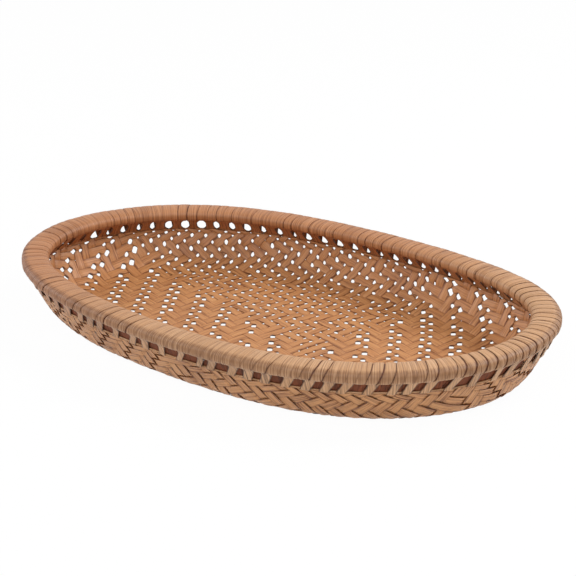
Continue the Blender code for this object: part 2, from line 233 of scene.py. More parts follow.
class TrayWeaveSettings(bpy.types.PropertyGroup):
    """The twill of single splits."""

    pitch: length_property("Pitch", "From one split to the next", 9)
    thickness: length_property("Thickness", "Thickness of a split", 0.42)
    level: length_property("Level", "How far a crossing lifts a split from the middle", 0.42)
    wall_level: number_property("Wall Level", "How much more it is lifted on the wall", 0.9)
    crown: length_property("Crown", "How far a split's middle stands over its edges", 0.2)
    closed_gap: length_property("Closed Gap", "Gap between splits where they close up", 0.4)
    wall_gap: length_property("Wall Gap", "The same on the wall, one direction only", 0.8)
    open_gap: length_property("Open Gap", "Gap between splits at an open hole", 5.3)
    gather: length_property("Gather", "Length of split that is drawn in at the wall's top", 9)
    turn: angle_property("Turn", "Turn of the weave from the tray's length", 25)
    centre_x: length_property("Centre X", "Middle of the weave's nested squares", 35.5)
    centre_y: length_property("Centre Y", "Middle of the weave's nested squares", -9.9)
    drift: length_property("Drift", "How far the weave strays from straight lines", 1.5)
    rings_per_pitch: bpy.props.IntProperty(
        name="Rings per Pitch", description="Fineness of a split along its run", default=5
    )
    seed: seed_property(4)
    colour: colour_property("Colour", "Colour of a split", (0.50, 0.212, 0.073))
    dark_colour: colour_property("Dark Colour", "Colour of its dark fibres", (0.21, 0.068, 0.02))
    pale_colour: colour_property("Pale Colour", "Colour of its pale fibres", (0.64, 0.32, 0.13))


class TrayRimSettings(bpy.types.PropertyGroup):
    """The lashing wound round the rim, its legs and the border strand."""

    turn_spacing: length_property("Turn Spacing", "From one turn of the lashing to the next", 8.8)
    turn_spread: number_property("Turn Spread", "Unevenness of the spacing, as a share", 0.3)
    thickness: length_property("Thickness", "Thickness of the lashing strip", 0.7)
    seam: length_property("Seam", "Usual gap between two turns", 0.04)
    wide_seam: length_property("Wide Seam", "Gap where two turns part", 0.9)
    calm_from: length_property("Calm From", "Start of the front where the turns lie closest", -165)
    calm_to: length_property("Calm To", "End of the front where the turns lie closest", 190)
    roundness: number_property("Roundness", "Exponent of the section, 2 is an ellipse", 2.7)
    lean: length_property("Lean", "How far a turn leans along the rim", 1.2)
    leg_spacing: length_property("Leg Spacing", "From one leg to the next", 15)
    leg_width: length_property("Leg Width", "Width of a leg", 7.4)
    leg_slant: length_property("Leg Slant", "How far a leg leans along the rim", 5)
    strand_width: length_property("Strand Width", "Thickness of the border strand", 1.5)
    seed: seed_property(11)
    colour: colour_property("Colour", "Colour of the lashing", (0.53, 0.28, 0.13))
    dark_colour: colour_property("Dark Colour", "Colour of its dark fibres", (0.22, 0.096, 0.036))
    pale_colour: colour_property("Pale Colour", "Colour of its pale fibres", (0.70, 0.44, 0.26))
    # Painted shade: multiplied into the lashing and legs, deeper towards the back and the left
    back_left_shade: colour_property("Tint", "Deeper tone towards the back and left", (0.85, 0.66, 0.54))
    core_colour: colour_property("Core Colour", "Colour of the hoops inside", (0.10, 0.03, 0.012))
    # Painted shade: the split ends are near-black to stand in for the shade in the gap under the
    # rim
    end_shade_colour: colour_property("End Colour", "Colour of the split ends", (0.16, 0.04, 0.011))


class TrayStageSettings(bpy.types.PropertyGroup):
    """Camera, lamps and floor."""

    camera_distance: length_property("Camera Distance", "From the tray's centre", 1351)
    camera_elevation: angle_property("Camera Elevation", "Above the horizon", 23.1)
    camera_azimuth: angle_property("Camera Azimuth", "Round from the front", 31.87)
    camera_roll: angle_property("Camera Roll", "Turn about the view line", -0.4625)
    focal_length_mm: number_property("Focal Length", "Lens, in millimetres", 101.8)
    origin_pixel_x: number_property(
        "Origin Pixel X", "Where the origin falls, from the left", 279.3
    )
    origin_pixel_y: number_property(
        "Origin Pixel Y", "Where the origin falls, from the top", 335.1
    )
    back_power: number_property("Back Power", "Power of the lamp at the back, in watts", 22)
    left_power: number_property("Left Power", "Power of the left lamp, in watts", 13)
    front_power: number_property("Front Power", "Power of the lamp in front, in watts", 17)
    world_strength: number_property("World Strength", "Strength of the even surround", 0.26)
    floor_colour: colour_property("Floor Colour", "Colour of the floor", (0.95, 0.95, 0.95))
    floor_glow: number_property("Floor Glow", "How much of the seen floor is plain white", 0.97)


class Term:
    """A node's output that does sums: each operator adds a Math node to its graph."""

    def __init__(self, graph, socket):
        self.graph = graph
        self.socket = socket

    def math(self, operation, *others):
        inputs = dict(enumerate((self, *others)))
        return self.graph.node("ShaderNodeMath", {"operation": operation}, inputs)

    def output(self, name):
        """Another output of the same node."""
        return Term(self.graph, self.socket.node.outputs[name])

    def __add__(self, other):
        return self.math("ADD", other)

    __radd__ = __add__

    def __mul__(self, other):
        return self.math("MULTIPLY", other)

    __rmul__ = __mul__

    def __sub__(self, other):
        return self.math("SUBTRACT", other)

    def __rsub__(self, other):
        return self.graph.value(other).math("SUBTRACT", self)

    def __truediv__(self, other):
        return self.math("DIVIDE", other)

    def __neg__(self):
        return self.math("MULTIPLY", -1)

    def __abs__(self):
        return self.math("ABSOLUTE")

    def __lt__(self, other):
        return self.math("LESS_THAN", other)

    def __gt__(self, other):
        return self.math("GREATER_THAN", other)

    def __mod__(self, other):
        return self.math("FLOORED_MODULO", other)

    def clamp(self):
        """The same sum, held between 0 and 1."""
        self.socket.node.use_clamp = True
        return self

    def blend(self, low, high):
        """From low to high as this goes from 0 to 1."""
        return self * (high - low) + low

    def ease(self, start, end):
        """A smooth step from 0 at start to 1 at end."""
        made = self.graph.node(
            "ShaderNodeMapRange", {"interpolation_type": "SMOOTHSTEP"},
            {"Value": self, "From Min": start, "From Max": end},
        )
        return made.output("Result")


class Graph:
    """A node tree that is written as sums and calls."""

    def __init__(self, tree):
        self.tree = tree

    def node(self, kind, settings=None, inputs=None):
        """One node: its settings first, then the values or links of its inputs."""
        made = self.tree.nodes.new(kind)
        made.location = (180 * (len(self.tree.nodes) // 12), -160 * (len(self.tree.nodes) % 12))
        for key, value in (settings or {}).items():
            setattr(made, key, value)
        for key, value in (inputs or {}).items():
            self.feed(made.inputs[key], value)
        shown = [socket for socket in made.outputs if socket.enabled]
        return Term(self, shown[0]) if shown else made

    def feed(self, socket, value):
        """Links a term to an input, or sets its plain value."""
        if isinstance(value, Term):
            self.tree.links.new(value.socket, socket)
        elif isinstance(value, (tuple, list)) and socket.type == "RGBA":
            socket.default_value = (*value, 1)
        else:
            socket.default_value = value

    def value(self, number):
        made = self.node("ShaderNodeValue")
        made.socket.default_value = number
        return made

    def vector(self, x, y, z):
        return self.node("ShaderNodeCombineXYZ", None, {0: x, 1: y, 2: z})

    def parts(self, vector):
        """The three numbers of a vector."""
        made = self.node("ShaderNodeSeparateXYZ", None, {0: vector})
        return made.output("X"), made.output("Y"), made.output("Z")

    def noise(self, vector, scale, detail, roughness=0.5, output=0):
        """Smooth noise, as a number or as its Color."""
        made = self.node(
            "ShaderNodeTexNoise", {"noise_dimensions": "3D"},
            {"Vector": vector, "Scale": scale, "Detail": detail, "Roughness": roughness},
        )
        return made.output(output)

    def attribute(self, name, output="Fac"):
        """A named attribute of the painted mesh."""
        made = self.node(
            "ShaderNodeAttribute", {"attribute_type": "GEOMETRY", "attribute_name": name}
        )
        return made.output(output)

    def seen_directly(self):
        """1 for rays from the camera, also by a reflection or through glass, or else 0."""
        light = self.node("ShaderNodeLightPath")
        seen = light.output("Is Camera Ray").math("MAXIMUM", light.output("Is Glossy Ray"))
        return seen.math("MAXIMUM", light.output("Is Transmission Ray"))

    def mix_colour(self, factor, first, second, blend="MIX"):
        """A mix of two colours."""
        node = self.node("ShaderNodeMix", {"data_type": "RGBA", "blend_type": blend}).socket.node
        colours = {s.name: s for s in node.inputs if s.type == "RGBA"}
        self.feed(node.inputs["Factor"], factor)
        self.feed(colours["A"], first)
        self.feed(colours["B"], second)
        return Term(self, [s for s in node.outputs if s.type == "RGBA"][0])


class ShapeGraph(Graph):
    """A Geometry Nodes tree with named inputs that ends in Realize Instances and Set Material."""

    def __init__(self, name):
        super().__init__(bpy.data.node_groups.new(name, "GeometryNodeTree"))
        for side in ("INPUT", "OUTPUT"):
            self.tree.interface.new_socket(
                "Geometry", in_out=side, socket_type="NodeSocketGeometry"
            )
        self.entry = self.tree.nodes.new("NodeGroupInput")
        self.values = {}

    def given(self, name, kind, value):
        """A named input of the tree, and its term."""
        made = self.tree.interface.new_socket(
            name, in_out="INPUT", socket_type=f"NodeSocket{kind}"
        )
        self.values[made.identifier] = value
        return Term(self, self.entry.outputs[name])

    def number(self, name, value):
        return self.given(name, "Float", value)

    def take(self, settings, names):
        """Inputs for these settings, kept here under the settings' own names."""
        for name in names.split():
            label = name.replace("_", " ").title()
            setattr(self, name, self.number(label, getattr(settings, name)))

    def item(self, name, value):
        """A named input for an object, and the geometry that it holds."""
        info = self.node(
            "GeometryNodeObjectInfo", {"transform_space": "ORIGINAL"},
            {"Object": self.given(name, "Object", value)},
        )
        return info.output("Geometry")

    def geometry(self):
        return Term(self, self.entry.outputs["Geometry"])

    def field(self, name):
        """A named number of the guides' points."""
        return self.node(
            "GeometryNodeInputNamedAttribute", {"data_type": "FLOAT"}, {"Name": name}
        ).output("Attribute")

    def capture(self, geometry, value):
        """Geometry that keeps a field's values, and the kept field."""
        made = self.tree.nodes.new("GeometryNodeCaptureAttribute")
        kind = "VECTOR" if value.socket.type == "VECTOR" else "FLOAT"
        made.capture_items.new(kind, "Value")
        self.feed(made.inputs["Geometry"], geometry)
        self.feed(made.inputs["Value"], value)
        return Term(self, made.outputs["Geometry"]), Term(self, made.outputs["Value"])

    def store(self, geometry, **fields):
        """Geometry with named attributes for its material."""
        for name, value in fields.items():
            kind = "FLOAT_VECTOR" if value.socket.type == "VECTOR" else "FLOAT"
            geometry = self.node(
                "GeometryNodeStoreNamedAttribute", {"data_type": kind, "domain": "POINT"},
                {"Geometry": geometry, "Name": name, "Value": value},
            )
        return geometry

    def curve(self, mesh):
        """The lines of a mesh as curves."""
        return self.node("GeometryNodeMeshToCurve", None, {"Mesh": mesh})

    def placed_curve(self, mesh):
        """The lines of a mesh as curves, and where their points were."""
        return self.capture(self.curve(mesh), self.node("GeometryNodeInputPosition"))

    def with_tangent(self, curve):
        return self.capture(curve, self.node("GeometryNodeInputTangent"))

    def with_length(self, curve):
        """Curves, and how far along them their points are."""
        return self.capture(curve, self.node("GeometryNodeSplineParameter").output("Length"))

    def sweep(self, guides, profile, caps):
        """A profile swept along the guides."""
        return self.node(
            "GeometryNodeCurveToMesh", None,
            {"Curve": guides, "Profile Curve": profile, "Fill Caps": caps},
        )

    def settle(self, geometry, x, y, z, shape):
        """Points moved to a place of the plain tray, with the swell and lift of its ends."""
        settings = shape.settings
        half_length = self.number("Half Length", settings.length / 2)
        swell = self.number("End Swell", settings.end_swell)
        lift = self.number("End Lift per Height", settings.end_lift / settings.height)
        along = x / half_length
        position = self.vector(x, y * (1 + swell * along), z * (1 + lift * along * along))
        return self.node(
            "GeometryNodeSetPosition", None, {"Geometry": geometry, "Position": position}
        )

    def finish(self, geometry, material):
        """Closes the tree with its realised and painted result."""
        real = self.node("GeometryNodeRealizeInstances", None, {"Geometry": geometry})
        surface = self.given("Material", "Material", material)
        painted = self.node(
            "GeometryNodeSetMaterial", None, {"Geometry": real, "Material": surface}
        )
        end = self.tree.nodes.new("NodeGroupOutput")
        self.feed(end.inputs["Geometry"], painted)


def add_object(name, data):
    """An object of the scene that holds this data."""
    result = bpy.data.objects.new(name, data)
    bpy.context.scene.collection.objects.link(result)
    return result


def lines_object(name, lines, closed=False, numbers=None):
    """A mesh of bare lines that guide a tree, with a number for each point where given."""
    points, edges = [], []
    for line in lines:
        start = len(points)
        points += [tuple(point) for point in line]
        edges += [(start + index, start + index + 1) for index in range(len(line) - 1)]
        if closed:
            edges.append((start + len(line) - 1, start))
    mesh = bpy.data.meshes.new(name)
    mesh.from_pydata(points, edges, [])
    for key, values in (numbers or {}).items():
        layer = mesh.attributes.new(key, "FLOAT", "POINT")
        layer.data.foreach_set("value", np.asarray(values, dtype=np.float32))
    return add_object(name, mesh)


def grow(name, guides, graph, helpers):
    """The plain mesh that a tree makes of its guides."""
    modifier = guides.modifiers.new(name, "NODES")
    modifier.node_group = graph.tree
    for identifier, value in graph.values.items():
        modifier[identifier] = value
    depsgraph = bpy.context.evaluated_depsgraph_get()
    mesh = bpy.data.meshes.new_from_object(guides.evaluated_get(depsgraph))
    if not mesh.polygons:
        raise RuntimeError(f"{name} came out empty")
    mesh.name = name
    modifier.node_group = None
    guides.modifiers.remove(modifier)
    for helper in (guides, *helpers):
        bpy.data.objects.remove(helper, do_unlink=True)
    solid = bmesh.new()
    solid.from_mesh(mesh)
    bmesh.ops.recalc_face_normals(solid, faces=solid.faces)
    solid.to_mesh(mesh)
    solid.free()
    mesh.polygons.foreach_set("use_smooth", [True] * len(mesh.polygons))
    mesh.set_sharp_from_angle(angle=SHARP_ANGLE)
    return add_object(name, mesh)


def smooth_step(values, start, end):
    """A smooth step from 0 at start to 1 at end."""
    share = np.clip((np.asarray(values) - start) / (end - start), 0, 1)
    return share * share * (3 - 2 * share)


def rounded(share, power):
    """A cosine or sine raised to a power, its sign kept: an oval's corners, fuller."""
    return np.copysign(np.abs(share) ** power, share)


def outward_normals(points):
    """Unit normals of a closed counterclockwise line."""
    along = np.roll(points, -1, axis=0) - np.roll(points, 1, axis=0)
    along /= np.linalg.norm(along, axis=1)[:, None]
    return np.column_stack([along[:, 1], -along[:, 0]])


def rim_outline(settings, samples):
    """Middle line of the rim, evenly spaced, counterclockwise from +X."""
    turn = np.linspace(0, 2 * math.pi, 2 * samples, endpoint=False)
    power = 2 / settings.oval_exponent
    x = settings.length / 2 * rounded(np.cos(turn), power)
    y = settings.width / 2 * rounded(np.sin(turn), power)
    line = np.column_stack([x, y])
    wave = settings.waist * (np.cos(2 * turn) - np.cos(4 * turn))
    wave += settings.slew * np.sin(2 * turn) + settings.twist * np.sin(4 * turn)
    line += outward_normals(line) * (settings.length * wave)[:, None]
    line -= outward_normals(line) * settings.rim_width / 2
    line = np.vstack([line, line[:1]])
    steps = np.linalg.norm(np.diff(line, axis=0), axis=1)
    run = np.concatenate([[0], np.cumsum(steps)])
    even = np.linspace(0, run[-1], samples, endpoint=False)
    return np.column_stack([np.interp(even, run, line[:, 0]), np.interp(even, run, line[:, 1])])


class TrayShape:
    """Curves and sizes that the pieces share."""

    def __init__(self, settings):
        self.settings = settings
        self.rim_centre_z = settings.height - settings.rim_height / 2
        self.rim_line = rim_outline(settings, OVAL_SAMPLES)
        self.rim_normals = outward_normals(self.rim_line)
        steps = np.roll(self.rim_line, -1, axis=0) - self.rim_line
        lengths = np.linalg.norm(steps, axis=1)
        self.rim_run = lengths.sum()
        self.rim_places = np.concatenate([[0], np.cumsum(lengths)])
        angle = settings.wall_angle
        self.floor_line = self.rim_line.copy()
        for _ in range(FLOOR_LINE_ROUNDS):
            x, y = self.floor_line.T
            share = np.maximum(smooth_step(y, *BACK_FROM_TO), smooth_step(-x, *LEFT_FROM_TO))
            bend = settings.floor_bend + settings.back_bend * share
            wall_rise = settings.height - settings.rim_height - settings.mat_half
            wall_rise = wall_rise - bend * (1 - math.cos(angle))
            inset = bend * math.sin(angle) + wall_rise / math.tan(angle) - settings.wall_outset
            self.floor_line = self.rim_line - self.rim_normals * inset[:, None]
        self.strand_height = -settings.rim_height / 2 - settings.strand_drop
        self.strand_outward = settings.wall_outset - settings.strand_drop / math.tan(angle)
        self.mat_rise = self.rim_centre_z + self.strand_height - settings.mat_half
        mat_run = bend * angle + (self.mat_rise - bend * (1 - math.cos(angle))) / math.sin(angle)
        self.mat_run = mat_run.max()

    def on_rim(self, places):
        """Flat points of the rim's middle line at places along it."""
        closed = np.vstack([self.rim_line, self.rim_line[:1]])
        places = np.asarray(places) % self.rim_run
        return np.column_stack([np.interp(places, self.rim_places, closed[:, i]) for i in (0, 1)])

    def dip(self, y):
        """How much lower the strand runs than at the front."""
        return self.settings.back_dip * smooth_step(y, *DIP_FROM_TO)

    def outline_object(self, name, line):
        return lines_object(name, [np.column_stack([line, np.zeros(len(line))])], closed=True)

    def out_of_floor(self, points):
        """Distance of flat points beyond the floor's outline, less than nil inside it."""
        result = np.empty(len(points))
        normals = outward_normals(self.floor_line)
        for index, point in enumerate(points):
            offset = point - self.floor_line
            nearest = int(np.argmin((offset ** 2).sum(axis=1)))
            result[index] = offset[nearest] @ normals[nearest]
        return result


def rim_ribbon_graph(name, shape, material, thickness, profile, rim_object):
    """Ribbons whose guides run in the rim's own space: along the rim, outward, and height."""
    graph = ShapeGraph(name)
    thick = graph.number("Thickness", thickness)
    centre_z = graph.number("Rim Centre Height", shape.rim_centre_z)
    run = graph.number("Rim Run", shape.rim_run)
    half_width = graph.number("Half Width", shape.settings.rim_width / 2)
    half_height = graph.number("Half Height", shape.settings.rim_height / 2)
    rim = graph.curve(graph.item("Rim Line", rim_object))
    section, corner = graph.placed_curve(graph.item("Profile", profile))
    guides, place = graph.placed_curve(graph.geometry())
    guides, tangent = graph.with_tangent(guides)
    guides, length = graph.with_length(guides)
    side, lift, _ = graph.parts(corner)
    along, outward, height = graph.parts(place)
    _, tangent_out, tangent_up = graph.parts(tangent)
    size = (tangent_out * tangent_out + tangent_up * tangent_up).math("SQRT").math("MAXIMUM", 1e-6)
    rise = lift * thick + graph.field("tilt") * side * thick
    along = along + (side * 0.5 + 0.5).blend(graph.field("trail"), graph.field("lead"))
    outward = outward + rise * tangent_up / size
    height = height - rise * tangent_out / size
    sample = graph.node(
        "GeometryNodeSampleCurve", {"mode": "LENGTH", "data_type": "FLOAT"},
        {"Curves": rim, "Length": along % run},
    )
    centre_x, centre_y, _ = graph.parts(sample.output("Position"))
    rim_x, rim_y, _ = graph.parts(sample.output("Tangent"))
    x = centre_x + rim_y * outward
    y = centre_y - rim_x * outward
    moved = graph.settle(graph.sweep(guides, section, True), x, y, centre_z + height, shape)
    grain = graph.vector(length, along, graph.field("strip"))
    # Painted shade: the outer side of the rim, from the shoulder down, is marked for a darker
    # colour and stronger fibres
    worn = (outward / half_width).ease(*OUTER_SHADE_OUTWARD_FROM_TO)
    worn = worn * (height / half_height).ease(*OUTER_SHADE_HEIGHT_FROM_TO)
    graph.finish(graph.store(moved, grain=grain, side=side, worn=worn), material)
    return graph


class WeaveGraph(ShapeGraph):
    """Splits of one direction: woven flat by rule, then bent up into the tray."""

    def __init__(self, name, shape, weave, crosswise, material, profile, floor_object):
        super().__init__(name)
        self.take(weave, "pitch thickness level wall_level crown closed_gap open_gap gather")
        self.take(weave, "drift turn centre_x centre_y seed")
        self.take(shape.settings, "floor_bend back_bend wall_angle mat_half back_dip")
        wall_gap = weave.wall_gap if crosswise else LENGTHWISE_WALL_GAP
        self.wall_gap = self.number("Wall Gap", wall_gap)
        self.mat_rise = self.number("Mat Rise", shape.mat_rise)
        self.crosswise = self.number("Crosswise", 1 if crosswise else 0)
        self.floor_line = self.item("Floor Line", floor_object)
        section, corner = self.placed_curve(self.item("Profile", profile))
        guides, place = self.placed_curve(self.geometry())
        self.side, self.lift, _ = self.parts(corner)
        self.along, _, _ = self.parts(place)
        self.split = self.field("split")
        self.step = self.along / self.pitch
        self.hold = self.step.math("ROUND")
        self.near = abs(self.step - self.hold)

        on_wall, shut = self.wall_shares()
        openness = self.openness()
        wide = shut.blend(self.closed_gap, self.wall_gap)
        gap = (openness * (1 - shut)).blend(wide, self.open_gap)
        across = self.split * self.pitch + self.side * ((self.pitch - gap) * 0.5)
        x, y = self.swayed(*self.flat_place(across))
        place = self.folded(x, y, self.lifted(on_wall))
        moved = self.settle(self.sweep(guides, section, True), *place, shape)
        # Painted shade: the slit number marks the edges of holes for a dark colour, the shade in
        # the gaps
        moved = self.store(
            moved, grain=self.vector(self.along, self.side * self.pitch * 0.5, self.split),
            side=self.side, slit=openness * shut.blend(*SLIT_SHADE_FROM_TO), rind=(self.lift < 0) * 1.0,
        )
        self.finish(moved, material)

    def flat_place(self, across):
        """Flat place of a point by its split's run and how far across the weave it is."""
        place = []
        for centre, wave in ((self.centre_x, "COSINE"), (self.centre_y, "SINE")):
            quarter = math.pi / 4
            run = (self.turn + self.crosswise.blend(-quarter, quarter)).math(wave)
            aside = (self.turn + self.crosswise.blend(quarter, -quarter)).math(wave)
            place.append(centre + self.along * run + across * aside)
        return place

    def off_floor(self, x, y):
        """The nearest point of the floor's outline, how far it is, and if the way leads out."""
        nearest = self.node(
            "GeometryNodeProximity", {"target_element": "EDGES"},
            {0: self.floor_line, "Sample Position": self.vector(x, y, 0)},
        )
        foot_x, foot_y, _ = self.parts(nearest.output("Position"))
        outside = ((x - foot_x) * foot_x + (y - foot_y) * foot_y) > 0
        return foot_x, foot_y, nearest.output("Distance"), outside

    def wall_shares(self):
        """1 on the wall, and 1 on its side towards the viewer, where the holes are shut."""
        x, y = self.flat_place(self.split * self.pitch)
        _, _, distance, outside = self.off_floor(x, y)
        on_wall = outside * distance.ease(0, self.floor_bend * self.wall_angle)
        towards_x, towards_y = TOWARDS_VIEWER
        return on_wall, on_wall * (x * towards_x + y * towards_y).ease(*VIEWER_FROM_TO)

    def openness(self):
        """How far each hole is open, by its place in the weave and by chance."""
        edge_side = self.side.math("SIGN")
        other = self.split + edge_side * 0.5
        first = self.crosswise.blend(self.hold, other)
        second = self.crosswise.blend(other, self.hold)
        product = first * second
        total = first + second
        aligned = product > ALIGNED_PRODUCT
        opposed = product < -ALIGNED_PRODUCT
        strong = ((total - (total < 0)) % TWILL_PERIOD) > TWILL_MIDDLE
        chance = self.node(
            "ShaderNodeTexWhiteNoise", {"noise_dimensions": "3D"},
            {"Vector": self.vector(first, second, self.seed)},
        ).output("Value")
        openness = aligned * strong + opposed * OPPOSED_OPENNESS
        openness = openness + (1 - aligned - opposed) * OTHER_OPENNESS
        openness = openness * chance.blend(*OPENNESS_FROM_TO) * (chance > SHUT_CHANCE)
        slanted = ((self.step - self.hold) * edge_side) > 0
        short, long = self.near.ease(*SHORT_SIDE_FROM_TO), self.near.ease(*LONG_SIDE_FROM_TO)
        return openness * (1 - slanted.blend(short, long))

    def lifted(self, on_wall):
        """Height over the mat's middle, which goes over and under from crossing to crossing."""
        cell = self.step.math("FLOOR") + 0.5
        crossings = []
        for index in (cell, cell + (self.step - cell).math("SIGN")):
            place = (abs(self.split) + abs(index)) % TWILL_PERIOD
            over = abs(place - TWILL_MIDDLE) < 1
            crossings.append(self.crosswise.blend(1 - over, over) * 2 - 1)
        share = self.near.ease(*RISE_FROM_TO) * 0.5 + 0.5
        raised = share.blend(crossings[1], crossings[0])
        crowned = (1 - self.side * self.side) * self.crown * (1 + on_wall)
        raised = raised * self.level * (1 + on_wall * self.wall_level)
        return raised + self.lift * self.thickness + crowned

    def swayed(self, x, y):
        """A flat place that strays a little from its straight line."""
        sway = self.noise(self.vector(x, y, self.seed), SWAY_SCALE, 1, output="Color")
        sway_x, sway_y, _ = self.parts(sway)
        reach = self.drift * SWAY_REACH
        return x + (sway_x - 0.5) * reach, y + (sway_y - 0.5) * reach

    def folded(self, x, y, lifted):
        """Where a flat place comes to lie when the mat is bent up round the floor's outline."""
        foot_x, foot_y, distance, outside = self.off_floor(x, y)
        wall, gather = self.wall_angle, self.gather
        larger = foot_y.ease(*BACK_FROM_TO).math("MAXIMUM", (-foot_x).ease(*LEFT_FROM_TO))
        bend = self.floor_bend + self.back_bend * larger
        span = self.mat_rise - bend * (1 - wall.math("COSINE"))
        span = (span - foot_y.ease(*DIP_FROM_TO) * self.back_dip) / wall.math("SINE")
        climb = ((distance - bend * wall) / (span + gather)).math("MINIMUM", 1).math("MAXIMUM", 0)
        straight = climb * (span + gather - gather * climb)
        angle = (distance / bend).math("MINIMUM", wall)
        sine, cosine = angle.math("SINE"), angle.math("COSINE")
        reach = bend * sine + straight * cosine - lifted * sine
        rise = bend * (1 - cosine) + straight * sine
        size = distance.math("MAXIMUM", 1e-7)
        return (
            outside.blend(x, foot_x + (x - foot_x) / size * reach),
            outside.blend(y, foot_y + (y - foot_y) / size * reach),
            self.mat_half + outside.blend(lifted, rise + lifted * cosine),
        )


def rim_core_graph(name, shape, material, profile):
    """A core swept along the rim's middle line, its section kept upright."""
    graph = ShapeGraph(name)
    centre_z = graph.number("Rim Centre Height", shape.rim_centre_z)
    section, corner = graph.placed_curve(graph.item("Profile", profile))
    line, place = graph.placed_curve(graph.geometry())
    line, tangent = graph.with_tangent(line)
    outward, lift, _ = graph.parts(corner)
    x, y, _ = graph.parts(place)
    run_x, run_y, _ = graph.parts(tangent)
    x, y = x + run_y * outward, y - run_x * outward
    moved = graph.settle(graph.sweep(line, section, False), x, y, centre_z + lift, shape)
    graph.finish(moved, material)
    return graph


def strand_graph(name, material, profile):
    """A strand swept along its line."""
    graph = ShapeGraph(name)
    section, corner = graph.placed_curve(graph.item("Profile", profile))
    line, length = graph.with_length(graph.curve(graph.geometry()))
    side, _, _ = graph.parts(corner)
    swept = graph.sweep(line, section, False)
    grain = graph.vector(length, side, STRAND_STRIP)
    graph.finish(graph.store(swept, grain=grain, side=side), material)
    return graph


def new_material(name):
    """A material, its graph and its shader."""
    material = bpy.data.materials.new(name)
    material.use_nodes = True
    return material, Graph(material.node_tree), material.node_tree.nodes["Principled BSDF"]


def shaded(colour, share):
    """A colour made darker or paler."""
    return tuple(min(1, share * part) for part in colour)


def fibre_colours(settings):
    """The usual, the dark and the pale colour of a strip."""
    return [tuple(c) for c in (settings.colour, settings.dark_colour, settings.pale_colour)]


def fibre_material(
    name, colours, fine, thread, contrast, quiet, edges, roughness, relief, back_left_shade=None
):
    """Split bamboo: fine fibres along the strip, darker threads, tone that varies by strip.

    A colour given here is multiplied in as painted shade, deeper towards the back and the left of
    the tray.
    """
    base, dark, pale = colours
    material, graph, shader = new_material(name)
    along, across, strip = graph.parts(graph.attribute("grain", "Vector"))
    side, slit, worn, rind = (graph.attribute(key) for key in ("side", "slit", "worn", "rind"))
    place = graph.vector(along * fine[1], across * fine[0], strip * 3.7)
    fine = graph.noise(place, 1, 3, 0.6)
    place = graph.vector(along * thread[1], across * thread[0], strip * 5.1)
    threads = graph.noise(place, 1, 2)
    tone = graph.node(
        "ShaderNodeTexWhiteNoise", {"noise_dimensions": "1D"}, {"W": strip}
    ).output("Value")
    place = graph.node("ShaderNodeTexCoord").output("Object")
    patches = graph.noise(place, 26, 2)

    dark_share = threads.ease(0.5, 0.74) * contrast + fine.ease(0.48, 0.72) * contrast * 0.7
    dark_share = dark_share * (1 + rind * 0.6)
    # Painted shade on the lashing's outer side: stronger dark fibres and a darker colour
    dark_share = dark_share * worn.blend(quiet, 1.9) + worn * 0.55
    # Painted shade at a strip's edges, in the seams between strips; the patches are tone that
    # varies at random
    dark_share = dark_share + abs(side).ease(0.7, 1.0) * edges + patches.ease(0.5, 0.8) * 0.3
    pale_share = fine.ease(0.52, 0.3) * 0.5 + threads.ease(0.47, 0.25) * 0.4 + tone * 0.25
    pale_share = pale_share + rind * 0.6
    # Painted shade in the gaps at the edges of holes, in a darker copy of the dark colour
    slit_shade_share = slit.ease(0.1, 0.8) * abs(side).ease(0.58, 0.86) * 0.9
    colour = graph.mix_colour(pale_share.clamp(), base, pale)
    colour = graph.mix_colour(dark_share.clamp(), colour, dark)
    colour = graph.mix_colour(slit_shade_share.clamp(), colour, shaded(dark, 0.4))
    # Painted shade: the colour is multiplied deeper towards the back and the left
    if back_left_shade:
        x, y, _ = graph.parts(place)
        colour = graph.mix_colour((y - x).ease(*BACK_LEFT_SHADE_FROM_TO), colour, back_left_shade, "MULTIPLY")
    bump = graph.node(
        "ShaderNodeBump", None,
        {"Strength": 0.6, "Distance": relief, "Height": fine + threads * 0.6},
    )
    graph.feed(shader.inputs["Base Color"], colour)
    graph.feed(shader.inputs["Roughness"], fine.blend(roughness - 0.08, roughness + 0.1))
    graph.feed(shader.inputs["Normal"], bump)
    return material


def core_material(name, colour):
    """Dark cane of the hoops inside the lashing."""
    material, graph, shader = new_material(name)
    noise = graph.noise(graph.node("ShaderNodeTexCoord").output("Object"), 300, 3)
    mixed = graph.mix_colour(noise.ease(0.4, 0.7), colour, shaded(colour, 1.8))
    graph.feed(shader.inputs["Base Color"], mixed)
    graph.feed(shader.inputs["Roughness"], 0.6)
    return material


def ribbon_profile(name, crown_share):
    """Section of a strip: side from -1 to 1, lift in thicknesses about its middle."""
    low = -0.5
    edge = 0.5 - crown_share
    corners = [
        (-1, low, 0), (0, low, 0), (1, low, 0), (1, edge, 0), (0.62, 0.46, 0), (0, 0.5, 0),
        (-0.62, 0.46, 0), (-1, edge, 0),
    ]
    return lines_object(name, [corners], closed=True)


def ribbon_piece(name, shape, material, thickness, crown_share, guides):
    """The strips that run along these guides on the rim."""
    profile = ribbon_profile(f"{name}_profile", crown_share)
    rim_line = shape.outline_object("rim_line", shape.rim_line)
    graph = rim_ribbon_graph(name, shape, material, thickness, profile, rim_line)
    return grow(name, guides, graph, (profile, rim_line))


class Ribbons:
    """Guide lines of short strips on the rim, with the numbers of their points."""

    def __init__(self):
        self.lines = []
        self.numbers = {"trail": [], "lead": [], "tilt": [], "strip": []}

    def add(self, line, halves, tilt, strip):
        """One strip, by its line and half its width at each point."""
        self.lines.append(line)
        self.numbers["trail"] += [-half for half in halves]
        self.numbers["lead"] += halves
        self.numbers["tilt"] += [tilt] * len(line)
        self.numbers["strip"] += [strip] * len(line)

    def as_object(self, name):
        return lines_object(name, self.lines, numbers=self.numbers)


